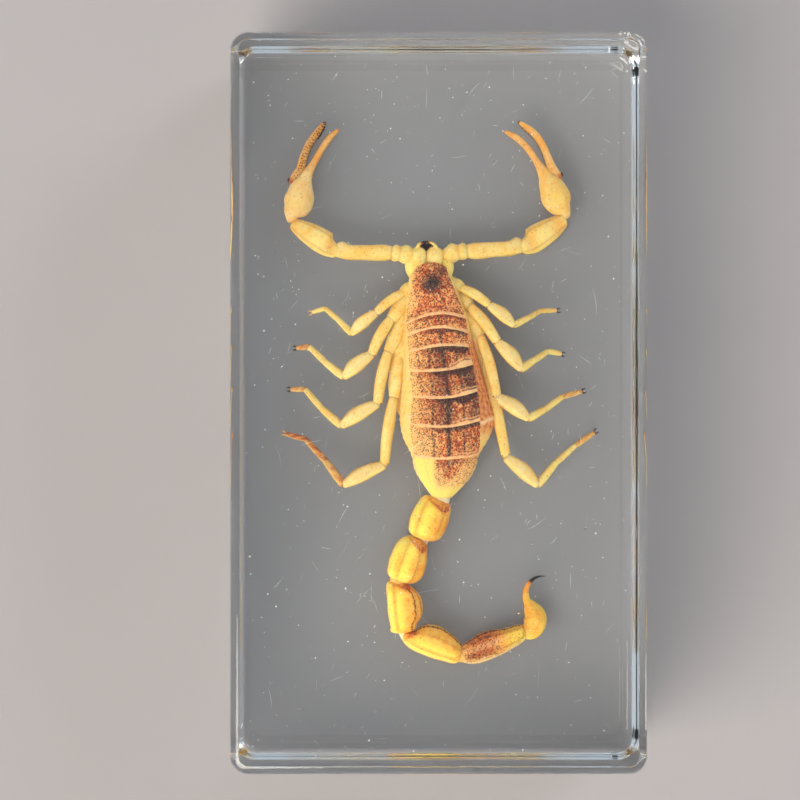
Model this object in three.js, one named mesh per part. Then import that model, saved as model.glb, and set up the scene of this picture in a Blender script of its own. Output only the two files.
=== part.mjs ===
// Clear cast-resin display block for a mounted scorpion: one solid slab with polished flat faces,
// small rounds along every edge and slightly larger rounds on the four upright corners.
//
// Frame: millimetres, +Z up. The block lies on its largest face. Its origin is the centre of that
// resting face, +Y runs along its length, towards the specimen's head, and +X across its width.

import * as THREE from "three";

// Driving dimensions, in millimetres.
const WIDTH = 41; // across, along X
const LENGTH = 73; // along Y
const THICKNESS = 22; // along Z
const CORNER_RADIUS = 1.8; // upright corners, seen from above
const EDGE_RADIUS = 1.0; // round between the flat faces and the side walls

// How finely the rounds are cut.
const CORNER_STEPS = 6;
const EDGE_STEPS = 4;

// Outline of a flat face: a rectangle of the given size, centred on the origin, with round corners.
function roundedRectangle(width, length, radius) {
  const x = width / 2;
  const y = length / 2;
  const outline = new THREE.Shape();
  outline.moveTo(-x + radius, -y);
  outline.lineTo(x - radius, -y);
  outline.absarc(x - radius, -y + radius, radius, -Math.PI / 2, 0);
  outline.lineTo(x, y - radius);
  outline.absarc(x - radius, y - radius, radius, 0, Math.PI / 2);
  outline.lineTo(-x + radius, y);
  outline.absarc(-x + radius, y - radius, radius, Math.PI / 2, Math.PI);
  outline.lineTo(-x, -y + radius);
  outline.absarc(-x + radius, -y + radius, radius, Math.PI, 1.5 * Math.PI);
  return outline;
}

// The slab: the flat face's outline is extruded, and its bevel makes the rounds of both faces.
function resinBlockGeometry() {
  const face = roundedRectangle(
    WIDTH - 2 * EDGE_RADIUS,
    LENGTH - 2 * EDGE_RADIUS,
    CORNER_RADIUS - EDGE_RADIUS,
  );
  const geometry = new THREE.ExtrudeGeometry(face, {
    depth: THICKNESS - 2 * EDGE_RADIUS,
    bevelEnabled: true,
    bevelThickness: EDGE_RADIUS,
    bevelSize: EDGE_RADIUS,
    bevelSegments: EDGE_STEPS,
    curveSegments: CORNER_STEPS,
  });
  geometry.translate(0, 0, EDGE_RADIUS); // the lower bevel starts below zero
  return geometry;
}

const clearResin = new THREE.MeshStandardMaterial({
  name: "clear_resin",
  color: 0xe6eef0,
  roughness: 0.03,
  metalness: 0,
  transparent: true,
  opacity: 0.35,
});

const resinBlock = new THREE.Mesh(resinBlockGeometry(), clearResin);
resinBlock.name = "resin_block";

const scorpionBlock = new THREE.Group();
scorpionBlock.add(resinBlock);

export default scorpionBlock;
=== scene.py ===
import math

import bpy
import numpy as np
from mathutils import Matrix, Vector


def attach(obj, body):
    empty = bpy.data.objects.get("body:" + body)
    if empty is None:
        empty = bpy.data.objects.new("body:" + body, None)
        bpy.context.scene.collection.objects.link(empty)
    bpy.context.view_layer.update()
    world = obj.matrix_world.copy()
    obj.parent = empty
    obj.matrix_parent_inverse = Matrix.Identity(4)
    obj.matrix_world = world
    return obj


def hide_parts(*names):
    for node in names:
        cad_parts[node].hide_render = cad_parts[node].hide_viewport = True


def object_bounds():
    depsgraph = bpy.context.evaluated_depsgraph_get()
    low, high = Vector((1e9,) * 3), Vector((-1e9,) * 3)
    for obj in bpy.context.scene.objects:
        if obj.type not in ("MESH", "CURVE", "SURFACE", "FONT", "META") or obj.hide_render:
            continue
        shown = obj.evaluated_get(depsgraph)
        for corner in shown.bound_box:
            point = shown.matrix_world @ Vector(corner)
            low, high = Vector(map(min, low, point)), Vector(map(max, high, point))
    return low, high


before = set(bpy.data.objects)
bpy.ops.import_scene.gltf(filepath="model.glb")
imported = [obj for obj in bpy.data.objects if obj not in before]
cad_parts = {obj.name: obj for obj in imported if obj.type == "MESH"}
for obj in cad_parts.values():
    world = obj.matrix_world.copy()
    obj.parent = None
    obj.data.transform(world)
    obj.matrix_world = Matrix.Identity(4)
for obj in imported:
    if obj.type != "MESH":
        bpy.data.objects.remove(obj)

CAD_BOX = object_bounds()

# A dried golden scorpion sealed in a clear resin block. Lengths are in millimetres until a mesh is
# made: +Y runs to the scorpion's head, +X to its right, and +Z out of the face that it is seen by.
MM = 0.001
BLOCK_LOW = np.array(CAD_BOX[0]) / MM
BLOCK_HIGH = np.array(CAD_BOX[1]) / MM
CORNER_RADIUS = 1.8
EDGE_RADIUS = 1.0
RESIN_IOR = 1.5

# Camera, straight above the block.
CAMERA_PLACE = (-3.8, 0.3)
CAMERA_HEIGHT = 257.0  # over the top face
CAMERA_FRAME = 78.4  # width of what it sees at the top face
SENSOR = 36.0


# ---------------------------------------------------------------- node trees

class Signal:
    """An output socket of a node tree. Arithmetic on it adds Math nodes."""

    def __init__(self, tree, socket):
        self.tree = tree
        self.socket = socket

    def maths(self, operation, *values):
        return self.tree.node("ShaderNodeMath", {"operation": operation}, dict(enumerate(values)))

    def __add__(self, other):
        return self.maths("ADD", self, other)

    def __sub__(self, other):
        return self.maths("SUBTRACT", self, other)

    def __rsub__(self, other):
        return self.maths("SUBTRACT", other, self)

    def __mul__(self, other):
        return self.maths("MULTIPLY", self, other)

    __radd__ = __add__
    __rmul__ = __mul__

    def at_most(self, other):
        return self.maths("MINIMUM", self, other)

    def at_least(self, other):
        return self.maths("MAXIMUM", self, other)

    def within(self, low, high):
        """0 at low and 1 at high, with a smooth rise between them."""
        limits = {"Value": self, "From Min": low, "From Max": high}
        return self.tree.node("ShaderNodeMapRange", {"interpolation_type": "SMOOTHSTEP"}, limits)


class Tree:
    """A node tree that grows by one node for each call."""

    def __init__(self, tree):
        self.tree = tree

    def socket(self, sockets, name):
        if isinstance(name, int):
            return sockets[name]
        return next(s for s in sockets if s.name == name and s.enabled)

    def feed(self, socket, value):
        if isinstance(value, Signal):
            self.tree.links.new(value.socket, socket)
        else:
            socket.default_value = value

    def node(self, kind, settings=None, sockets=None, output=0):
        made = self.tree.nodes.new(kind)
        for name, value in (settings or {}).items():
            if name == "stops":
                self.set_stops(made.color_ramp, value)
            else:
                setattr(made, name, value)
        for name, value in (sockets or {}).items():
            self.feed(self.socket(made.inputs, name), value)
        if not made.outputs:
            return made
        return Signal(self, self.socket(made.outputs, output))

    def set_stops(self, ramp, stops):
        while len(ramp.elements) < len(stops):
            ramp.elements.new(1.0)
        for element, (place, colour) in zip(ramp.elements, stops):
            element.position = place
            element.color = colour

    def blend(self, share, first, second):
        """Colour first where share is 0 and second where it is 1."""
        sockets = {"Factor": share, "A": first, "B": second}
        return self.node("ShaderNodeMix", {"data_type": "RGBA"}, sockets, "Result")


class Finish(Tree):
    """A material: a Principled shader, and the patterns that feed it."""

    def __init__(self, name):
        self.material = bpy.data.materials.new(name)
        self.material.use_nodes = True
        super().__init__(self.material.node_tree)
        self.shader = self.tree.nodes["Principled BSDF"]
        self.output = self.tree.nodes["Material Output"]
        self.place = self.node("ShaderNodeTexCoord", output="Object")

    def set(self, **sockets):
        for name, value in sockets.items():
            self.feed(self.shader.inputs[name.replace("_", " ")], value)

    def noise(self, size, detail=3.0, rough=0.55, stretch=(1.0, 1.0, 1.0), turn=0.0):
        """Noise with features about size millimetres across, from 0 to 1."""
        sockets = {"Vector": self.place, "Scale": stretch, "Rotation": (0.0, 0.0, turn)}
        place = self.node("ShaderNodeMapping", sockets=sockets)
        sockets = {"Vector": place, "Scale": 1 / (size * MM), "Detail": detail, "Roughness": rough}
        return self.node("ShaderNodeTexNoise", sockets=sockets)

    def cells(self, size):
        """Distance to the nearest of scattered points about size millimetres apart, from 0 to about 0.7."""
        sockets = {"Vector": self.place, "Scale": 1 / (size * MM)}
        return self.node("ShaderNodeTexVoronoi", sockets=sockets, output="Distance")

    def painted(self, name):
        """How strongly a mark is painted on the mesh, from 0 to 1."""
        return self.node("ShaderNodeAttribute", {"attribute_name": name}, output="Fac")

    def ramp(self, share, *stops):
        return self.node("ShaderNodeValToRGB", {"stops": stops}, {"Fac": share})

    def relief(self, height, depth):
        """Raises the surface by height, where 1 is depth millimetres."""
        self.set(Normal=self.node("ShaderNodeBump", sockets={"Height": height, "Distance": depth * MM}))


def colour(red, green, blue):
    """A display colour, each part from 0 to 255, as the linear colour that shaders take."""
    parts = [part / 255 for part in (red, green, blue)]
    return (*[p / 12.92 if p < 0.04045 else ((p + 0.055) / 1.055) ** 2.4 for p in parts], 1.0)


# ---------------------------------------------------------------- finishes

IVORY = colour(255, 232, 186)
LEMON = colour(255, 224, 142)
GOLD = colour(254, 198, 92)
AMBER = colour(232, 138, 42)
RUST = colour(186, 76, 32)
SOOT = colour(26, 12, 10)
BLOOD = colour(84, 24, 14)
WHITE = colour(255, 255, 255)
RESIN_TINT = colour(210, 235, 248)
RESIN_DENSITY = 7.0

# Colours of the back plates: the ground's stops from its dark patches to its light ones, and the rest.
PLATE_STOPS = (
    (0.38, colour(176, 58, 20)),
    (0.45, colour(224, 94, 36)),
    (0.53, colour(250, 134, 58)),
    (0.63, colour(255, 182, 96)),
)
PLATE_FADED = colour(255, 198, 116)
PLATE_MAROON = colour(116, 34, 26)
PLATE_BLACK = colour(30, 16, 22)
PLATE_GLINT = colour(255, 196, 122)
PLATE_PIT = colour(84, 24, 10)
PLATE_BEAD = colour(92, 28, 14)
PLATE_YELLOW = colour(255, 224, 112)
PLATE_MARGIN = colour(255, 206, 142)


def cuticle(name, light, full, deep, bright, relief=0.02, red=RUST):
    """Thin golden cuticle that lets some light into it, darker on its ridges and where it is painted."""
    finish = Finish(name)
    cloud = finish.noise(1.3, 2.0)
    mottle = finish.noise(0.35, 3.0)
    pores = finish.noise(0.09, 2.0)
    dots = finish.cells(0.2).within(0.5, 0.15)
    ground = finish.blend(cloud.within(0.36, 0.66), light, full)
    ground = finish.blend(mottle.within(0.5, 0.8) * 0.6, ground, deep)
    ground = finish.blend(finish.painted("warm") * 0.85, ground, bright)
    ground = finish.blend(finish.painted("pale") * 0.9, ground, IVORY)
    ground = finish.blend(finish.painted("ridge") * (0.35 + 0.6 * mottle), ground, deep)
    ground = finish.blend(finish.cells(0.42).within(0.17, 0.09) * 0.75, ground, red)
    shade = finish.painted("dark")
    ground = finish.blend((shade * 2.0 * (0.75 + 0.5 * dots)).at_most(1.0) * 0.9, ground, red)
    bead = finish.painted("bead")
    ground = finish.blend(bead * 0.5, ground, red)
    ground = finish.blend((bead * shade * 1.8).at_most(0.9), ground, BLOOD)
    black = (shade * 2.0 - 1.0).at_least(0.0) * (0.45 + 1.1 * dots) + (shade * 4.0 - 3.0).at_least(0.0)
    finish.set(Base_Color=finish.blend(black.at_most(1.0), ground, SOOT))
    finish.set(Roughness=0.38 + 0.2 * mottle)
    finish.set(Subsurface_Weight=0.3, Subsurface_Radius=(1.0, 0.45, 0.15), Subsurface_Scale=0.6 * MM)
    finish.set(Specular_IOR_Level=0.22)
    finish.relief(pores * 0.6 + mottle * 0.4, relief)
    return finish.material


def plate_cuticle(name):
    """Granular red-brown cuticle of the back plates, pale at the rear margins, yellow where washed."""
    finish = Finish(name)
    cloud = finish.noise(1.1, 3.0)
    mottle = finish.noise(0.4, 4.0, 0.65)
    grit = finish.noise(0.11, 2.0)
    cells = finish.cells(0.24)
    ground = finish.ramp(mottle * 0.7 + cloud * 0.3, *PLATE_STOPS)
    fade = finish.painted("warm")
    ground = finish.blend((fade * (0.5 + 0.9 * cloud)).at_most(1.0), ground, PLATE_FADED)
    shade = finish.painted("dark") * (0.35 + 1.2 * mottle.within(0.3, 0.6))
    ground = finish.blend((shade * 2.0).at_most(1.0) * 0.9, ground, PLATE_MAROON)
    ground = finish.blend((shade * 2.0 - 0.8).at_least(0.0).at_most(1.0), ground, PLATE_BLACK)
    glints = cells.within(0.42, 0.62) * mottle.within(0.4, 0.56) * (1.0 - 0.6 * shade).at_least(0.0)
    ground = finish.blend(glints * 0.72, ground, PLATE_GLINT)
    pale = finish.painted("pale")
    wash = finish.painted("ridge")
    pits = cells.within(0.37, 0.16) * (1.2 - fade * 0.5) * (1.0 - pale) * (1.0 - wash)
    ground = finish.blend(pits.at_least(0.0).at_most(1.0), ground, PLATE_PIT)
    ground = finish.blend(finish.painted("bead") * (0.6 + 0.7 * grit - 0.3 * fade), ground, PLATE_BEAD)
    ground = finish.blend(wash, ground, PLATE_YELLOW)
    margin = pale * (0.65 + 0.9 * (mottle - 0.3))
    ground = finish.blend(margin.at_most(1.0), ground, PLATE_MARGIN)
    finish.set(Base_Color=ground)
    finish.set(Roughness=0.4 + 0.3 * grit)
    finish.set(Subsurface_Weight=0.08, Subsurface_Radius=(1.0, 0.4, 0.2), Subsurface_Scale=0.15 * MM)
    finish.set(Specular_IOR_Level=0.28)
    finish.relief(grit * 0.7 + mottle * 0.3, 0.04)
    return finish.material


def eye_finish():
    """Glossy black of the eyes."""
    finish = Finish("eye_black")
    gleam = finish.noise(0.2, 2.0)
    finish.set(Base_Color=finish.blend(gleam, SOOT, colour(44, 26, 20)))
    finish.set(Roughness=0.12 + 0.1 * gleam)
    return finish.material


def resin_finish():
    """Polished clear resin: a faint cool tint in its depth, and hairline scratches on its faces."""
    finish = Finish("clear_resin")
    finish.set(Transmission_Weight=1.0, IOR=RESIN_IOR)
    marks, *others = [
        finish.noise(3.4, 2.0, 0.4, (34.0, 1.0, 1.0), turn).within(0.70, 0.76)
        for turn in (0.5, 1.1, 1.9, 2.8)
    ]
    for scratches in others:
        marks = marks.at_least(scratches)
    finish.set(Base_Color=finish.blend(marks * 0.04, WHITE, colour(238, 240, 240)))
    finish.set(Roughness=marks * 0.16)
    finish.relief(finish.noise(9.0, 1.0), 0.02)
    tint = {"Color": RESIN_TINT, "Density": RESIN_DENSITY}
    inside = finish.node("ShaderNodeVolumeAbsorption", sockets=tint)
    finish.feed(finish.output.inputs["Volume"], inside)
    return finish.material


def matt_finish(name, size, first, second, **sockets):
    """A matt finish that wanders between two colours, in patches about size millimetres across."""
    finish = Finish(name)
    finish.set(Base_Color=finish.blend(finish.noise(size), first, second), Roughness=0.8, **sockets)
    return finish.material


# ---------------------------------------------------------------- curves

def smooth(knots, places):
    """Values on the smooth curve through knots, each (place, value or values)."""
    at = np.array([knot[0] for knot in knots], float)
    values = np.array([knot[1] for knot in knots], float)
    slopes = np.gradient(values, at, axis=0)
    places = np.clip(np.asarray(places, float), at[0], at[-1])
    left = np.clip(np.searchsorted(at, places) - 1, 0, len(at) - 2)
    span = at[left + 1] - at[left]
    t = (places - at[left]) / span
    if values.ndim > 1:
        span, t = span[..., None], t[..., None]
    climb = values[left + 1] - values[left]
    bend_in = slopes[left] * span - climb
    bend_out = climb - slopes[left + 1] * span
    return values[left] + t * climb + t * (1 - t) * ((1 - t) * bend_in + t * bend_out)


def unit(vectors):
    return vectors / np.maximum(np.linalg.norm(vectors, axis=-1, keepdims=True), 1e-12)


def bell(distance, width):
    return np.exp(-((distance / width) ** 2))


def facing(angles, target, width):
    """1 where an angle is the target, falling off over width degrees."""
    return bell((angles - target + 180) % 360 - 180, width)


def rise(values, low, high):
    t = np.clip((values - low) / (high - low), 0, 1)
    return t * t * (3 - 2 * t)


# ---------------------------------------------------------------- shapes

# What is painted on a mesh: darkness, paleness, warm yellow, the lines of its keels, and how densely
# granules or bristles grow on it.
# On some pieces the paleness, the warm yellow, the darkness and the keel lines also carry painted light and
# painted shade.
MARKS = ("dark", "pale", "warm", "ridge", "grain")


class Shape:
    """Closed shells that make up one piece, with the marks that are painted on them."""

    def __init__(self):
        self.points = []
        self.faces = []
        self.marks = {name: [] for name in MARKS}
        self.count = 0

    def add(self, points, faces, **marks):
        """Adds a closed shell, and turns its faces round if their volume comes out negative.

        Only three corners of each face are measured, and from the origin, so the sign can come out
        wrong, mostly for small shells far from the origin, and their faces then point inwards.
        """
        corners = points[np.array([face[:3] for face in faces])]
        volume = np.einsum("ij,ij->", corners[:, 0], np.cross(corners[:, 1], corners[:, 2]))
        turned = [face[::-1] for face in faces] if volume < 0 else faces
        self.faces += [tuple(i + self.count for i in face) for face in turned]
        self.points.append(points)
        for name in MARKS:
            self.marks[name].append(np.broadcast_to(marks.get(name, 0.0), len(points)))
        self.count += len(points)
        return self

    def sweep(self, tube, **marks):
        return self.add(tube.points, tube.faces, **marks)

    def make(self, name, material):
        mesh = bpy.data.meshes.new(name)
        points = np.concatenate(self.points) * MM
        mesh.from_pydata(points.tolist(), [], self.faces)
        for mark, values in self.marks.items():
            layer = mesh.attributes.new(mark, "FLOAT", "POINT")
            layer.data.foreach_set("value", np.clip(np.concatenate(values), 0, 1).astype(np.float32))
        mesh.polygons.foreach_set("use_smooth", [True] * len(mesh.polygons))
        mesh.materials.append(material)
        mesh.update()
        piece = bpy.data.objects.new(name, mesh)
        bpy.context.scene.collection.objects.link(piece)
        return piece


def ring_faces(rings, around):
    """Faces of a shell of rings between two poles, with the poles' points last."""
    first_pole = rings * around
    last_pole = first_pole + 1
    faces = []
    for i in range(around):
        j = (i + 1) % around
        faces.append((first_pole, j, i))
        faces.append((last_pole, (rings - 1) * around + i, (rings - 1) * around + j))
        for ring in range(rings - 1):
            low = ring * around
            high = low + around
            faces.append((low + i, low + j, high + j, high + i))
    return faces


class Tube:
    """A closed shell swept along a path, for a segment of a limb or of the tail.

    widths are knots (place from 0 to 1, half width), and a half width may be a (left, right) pair, as
    seen from above on the way along. heights are knots of the half height. Each keel is (angle,
    height). Angles go round in degrees from the right side, 0, over the top, 90, to the left.
    """

    KEEL_WIDTH = 7.0  # degrees
    FURROW_WIDTH = 24.0  # degrees
    END_CROWDING = 0.11  # how much closer together the rings are near the ends

    def __init__(self, path, widths, heights=None, keels=(), boxy=2.0, ends=(0.06, 0.06),
                 rings=30, around=36, furrow=0.0, wobble=0.012):
        path = np.array(path, float)
        reach = np.concatenate([[0.0], np.cumsum(np.linalg.norm(np.diff(path, axis=0), axis=1))])
        knots = list(zip(reach / reach[-1], path))
        s = (np.arange(rings) + 0.5) / rings
        self.stations = t = s - np.sin(2 * np.pi * s) * self.END_CROWDING
        self.around = around
        centre = smooth(knots, t)
        along = unit(smooth(knots, t + 0.01) - smooth(knots, t - 0.01))
        side = unit(np.cross(along, np.array((0.0, 0.0, 1.0))))
        top = np.cross(side, along)

        angle = np.arange(around) / around * 2 * np.pi
        degrees = np.degrees(angle)
        cos, sin = np.cos(angle), np.sin(angle)
        across, raised = squared(cos, boxy), squared(sin, boxy)
        shut = np.sqrt(1 - (1 - np.clip(t / ends[0], 0, 1)) ** 2)
        shut = shut * np.sqrt(1 - (1 - np.clip((1 - t) / ends[1], 0, 1)) ** 2)
        ripple = 1 + wobble * np.sin(9 * t[:, None] + 2 * angle) * np.sin(5 * t[:, None] + 3 * angle)

        ridge = np.zeros((rings, around))
        lift = np.zeros((rings, around))
        from_end = np.minimum(t, 1 - t)[:, None]
        for keel_angle, keel_height in keels:
            near = facing(degrees, keel_angle, self.KEEL_WIDTH) * rise(from_end, 0.02, 0.1)
            ridge = np.maximum(ridge, near)
            lift = np.maximum(lift, near * keel_height)
        lift = lift - furrow * facing(degrees, 90, self.FURROW_WIDTH) * rise(from_end, 0.0, 0.2)

        half_widths = smooth(widths, t)
        if half_widths.ndim == 1:
            half_widths = np.stack([half_widths, half_widths], -1)
        half_width = np.where(cos[None, :] < 0, half_widths[:, :1], half_widths[:, 1:])
        half_height = smooth(heights, t)[:, None] if heights else half_widths.mean(axis=1)[:, None]
        x = (half_width * ripple * across + lift * cos) * shut[:, None]
        z = (half_height * ripple * raised + lift * sin) * shut[:, None]
        self.grid = centre[:, None] + x[..., None] * side[:, None] + z[..., None] * top[:, None]
        self.points = np.concatenate([self.grid.reshape(-1, 3), smooth(knots, np.array([0.0, 1.0]))])
        self.faces = ring_faces(rings, around)
        self.far = np.concatenate([np.repeat(t, around), [0.0, 1.0]])
        self.about = np.concatenate([np.tile(degrees, rings), [90.0, 90.0]])
        self.ridge = np.concatenate([ridge.ravel(), [0.0, 0.0]])

    def toward(self, degrees, width):
        """1 along the line at an angle, falling off over width degrees to its sides."""
        return facing(self.about, degrees, width)

    def band(self, place, width):
        """1 round the tube at a place along it, falling off over width before and after it."""
        return bell(self.far - place, width)

    def beyond(self, low, high):
        """0 up to one place along the tube and 1 from another on."""
        return rise(self.far, low, high)

    def at(self, place, degrees):
        """A point of the surface, part of the way along and round it."""
        last = len(self.stations) - 1
        ring = np.clip(np.interp(place, self.stations, np.arange(last + 1)), 0, last - 0.001)
        spoke = (degrees % 360) / 360 * self.around
        low, first = int(ring), int(spoke)
        high, second = low + 1, (first + 1) % self.around
        up, on = ring - low, spoke - first
        near = self.grid[low, first] * (1 - on) + self.grid[low, second] * on
        far = self.grid[high, first] * (1 - on) + self.grid[high, second] * on
        return near * (1 - up) + far * up


def squared(wave, boxy):
    """A sine or cosine that is drawn out, so that a round section of 2 turns boxier with more."""
    return np.sign(wave) * np.abs(wave) ** (2 / boxy)


def inner_side(way):
    """Angle of a tube's side towards the body's middle line, for a part that points ahead."""
    return 0 if way < 0 else 180


def egg(centre, size, rings=8, around=12):
    """A smooth ball or egg, size being its half sizes."""
    centre, size = np.array(centre, float), np.array(size, float) * np.ones(3)
    tilt = (np.arange(rings) + 1) / (rings + 1) * np.pi
    angle = np.arange(around) / around * 2 * np.pi
    x = np.sin(tilt)[:, None] * np.cos(angle)
    y = np.sin(tilt)[:, None] * np.sin(angle)
    z = np.cos(tilt)[:, None] * np.ones(around)
    points = np.stack([x, y, z], -1).reshape(-1, 3)
    points = np.concatenate([points, [[0, 0, 1], [0, 0, -1]]])
    return centre + points * size, ring_faces(rings, around)


def grains(shape, tube, angles, first, last, number, size, dark, chance):
    """Rows of small grains along a tube's surface, as on its keels or on a finger's cutting edge."""
    for angle in angles:
        for place in np.linspace(first, last, number):
            place = place + chance.uniform(-0.3, 0.3) * (last - first) / number
            point = tube.at(place, angle + chance.uniform(-2.0, 2.0))
            half = size * chance.uniform(0.75, 1.25)
            shape.add(*egg(point, half, 4, 6), dark=dark)


def sheet_shell(grid, thickness):
    """A grid of points, rows by columns, given a thickness below it and closed all round."""
    rows, columns = grid.shape[:2]
    normal = unit(np.cross(np.gradient(grid, axis=1), np.gradient(grid, axis=0)))
    normal = np.where(normal[..., 2:].mean() < 0, -normal, normal)
    below = grid - normal * thickness
    points = np.concatenate([grid.reshape(-1, 3), below.reshape(-1, 3)])
    base = rows * columns
    faces = []
    for r in range(rows - 1):
        for c in range(columns - 1):
            a = r * columns + c
            b = a + columns
            faces.append((a, a + 1, b + 1, b))
            faces.append((base + b, base + b + 1, base + a + 1, base + a))
    rim = list(range(columns))
    rim += [r * columns + columns - 1 for r in range(1, rows)]
    rim += [(rows - 1) * columns + c for c in range(columns - 2, -1, -1)]
    rim += [r * columns for r in range(rows - 2, 0, -1)]
    for a, b in zip(rim, rim[1:] + rim[:1]):
        faces.append((b, a, base + a, base + b))
    return points, faces


# ---------------------------------------------------------------- repeated small parts

def new_growth_tree(name, *numbers):
    """A geometry tree with a mesh and a material going in, and the named numbers, and a mesh out."""
    group = bpy.data.node_groups.new(name, "GeometryNodeTree")
    group.interface.new_socket("Mesh", in_out="INPUT", socket_type="NodeSocketGeometry")
    group.interface.new_socket("Material", in_out="INPUT", socket_type="NodeSocketMaterial")
    for number in numbers:
        group.interface.new_socket(number, in_out="INPUT", socket_type="NodeSocketFloat")
    group.interface.new_socket("Mesh", in_out="OUTPUT", socket_type="NodeSocketGeometry")
    tree = Tree(group)
    entry = group.nodes.new("NodeGroupInput")
    inputs = {s.name: Signal(tree, s) for s in entry.outputs if s.name}
    return tree, inputs


def close_growth_tree(tree, inputs, copies):
    """Joins the copies, made real, to the mesh that carries them, and gives both the material."""
    real = tree.node("GeometryNodeRealizeInstances", sockets={"Geometry": copies})
    join = tree.tree.nodes.new("GeometryNodeJoinGeometry")
    tree.tree.links.new(real.socket, join.inputs[0])
    tree.tree.links.new(inputs["Mesh"].socket, join.inputs[0])
    rounded = tree.node("GeometryNodeSetShadeSmooth", sockets={0: Signal(tree, join.outputs[0])})
    sockets = {"Geometry": rounded, "Material": inputs["Material"]}
    coated = tree.node("GeometryNodeSetMaterial", sockets=sockets)
    leave = tree.tree.nodes.new("NodeGroupOutput")
    tree.tree.links.new(coated.socket, leave.inputs[0])
    return tree.tree


def random_number(tree, low, high, seed):
    sockets = {2: low, 3: high, "Seed": seed}
    return tree.node("FunctionNodeRandomValue", {"data_type": "FLOAT"}, sockets, 1)


def scattered(tree, inputs, seed):
    """Points spread over the mesh where grain is painted, as dense as it is strong."""
    grain = tree.node("GeometryNodeInputNamedAttribute", {"data_type": "FLOAT"}, {"Name": "grain"})
    sockets = {"Mesh": inputs["Mesh"], "Density": grain * inputs["Density"], "Seed": seed}
    spread = tree.node("GeometryNodeDistributePointsOnFaces", sockets=sockets)
    node = spread.socket.node
    return spread, Signal(tree, node.outputs["Rotation"])


def granule_tree():
    """Small round granules that sit half sunk in the cuticle."""
    tree, inputs = new_growth_tree("granules", "Density", "Smallest", "Largest")
    spread, turn = scattered(tree, inputs, 7)
    ball = tree.node("GeometryNodeMeshIcoSphere", sockets={"Radius": 1.0, "Subdivisions": 1})
    sockets = {"Geometry": ball, "Name": "bead", "Value": 1.0}
    ball = tree.node("GeometryNodeStoreNamedAttribute", {"data_type": "FLOAT"}, sockets)
    size = random_number(tree, inputs["Smallest"], inputs["Largest"], 11)
    sockets = {"Points": spread, "Instance": ball, "Rotation": turn, "Scale": size}
    copies = tree.node("GeometryNodeInstanceOnPoints", sockets=sockets)
    return close_growth_tree(tree, inputs, copies)


def bristle_tree():
    """Fine short bristles that lean a little from the cuticle."""
    tree, inputs = new_growth_tree("bristles", "Density", "Length", "Thickness")
    spread, turn = scattered(tree, inputs, 5)
    sockets = {"Vertices": 4, "Radius Top": 0.0, "Radius Bottom": inputs["Thickness"],
               "Depth": inputs["Length"]}
    hair = tree.node("GeometryNodeMeshCone", sockets=sockets)
    lean = tree.node(
        "FunctionNodeRandomValue",
        {"data_type": "FLOAT_VECTOR"},
        {0: (-0.6, -0.6, -3.0), 1: (0.6, 0.6, 3.0), "Seed": 3},
    )
    lean = tree.node("FunctionNodeEulerToRotation", sockets={0: lean})
    turn = tree.node("FunctionNodeRotateRotation", {"rotation_space": "LOCAL"}, {0: turn, 1: lean})
    size = random_number(tree, 0.5, 1.3, 9)
    sockets = {"Points": spread, "Instance": hair, "Rotation": turn, "Scale": size}
    copies = tree.node("GeometryNodeInstanceOnPoints", sockets=sockets)
    return close_growth_tree(tree, inputs, copies)


def grow(piece, group, **numbers):
    """Runs a growth tree on a piece and keeps the result as its plain mesh."""
    modifier = piece.modifiers.new(group.name, "NODES")
    modifier.node_group = group
    names = {item.name: item.identifier for item in group.interface.items_tree if item.in_out == "INPUT"}
    modifier[names["Material"]] = piece.data.materials[0]
    for name, number in numbers.items():
        modifier[names[name]] = number
    graph = bpy.context.evaluated_depsgraph_get()
    grown = bpy.data.meshes.new_from_object(
        piece.evaluated_get(graph), preserve_all_data_layers=True, depsgraph=graph
    )
    piece.modifiers.remove(modifier)
    plain = piece.data
    piece.data = grown
    bpy.data.meshes.remove(plain)
    grown.name = piece.name
    return piece


# ---------------------------------------------------------------- resin block

def rounded_outline(inset, corner_steps=14):
    """The block's outline from above, drawn inset from its full size."""
    radius = max(CORNER_RADIUS - inset, 0.05)
    half = (BLOCK_HIGH - BLOCK_LOW)[:2] / 2 - inset - radius
    outline = []
    for quarter, (sx, sy) in enumerate(((1, 1), (-1, 1), (-1, -1), (1, -1))):
        for step in range(corner_steps + 1):
            angle = (quarter + step / corner_steps) * math.pi / 2
            along = radius * math.cos(angle), radius * math.sin(angle)
            outline.append((sx * half[0] + along[0], sy * half[1] + along[1]))
    return outline


def block_levels(edge_steps=14, flat_margin=0.35):
    """Insets and heights of the block's outlines, from its resting face to its top face."""
    low, high = BLOCK_LOW[2], BLOCK_HIGH[2]
    arc = [math.pi / 2 * step / edge_steps for step in range(edge_steps + 1)]
    bottom = [(EDGE_RADIUS * (1 - math.sin(a)), low + EDGE_RADIUS * (1 - math.cos(a))) for a in arc]
    top = [(inset, high - (level - low)) for inset, level in reversed(bottom)]
    flat = EDGE_RADIUS + flat_margin
    wall = [(0.0, low + flat), (0.0, high - flat)]
    return [(flat, low), *bottom, *wall, *top, (flat, high)]


BUBBLES = (  # place, half size
    ((8.4, -21.6, 3.6), 0.16),
    ((10.1, -19.9, 3.2), 0.10),
    ((1.9, 14.4, 6.9), 0.07),
    ((-17.6, 12.8, 9.0), 0.12),
    ((-16.4, 15.1, 12.5), 0.09),
    ((5.6, 24.1, 15.0), 0.08),
    ((-6.3, -31.5, 6.0), 0.11),
    ((14.9, -12.7, 10.5), 0.09),
)


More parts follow.
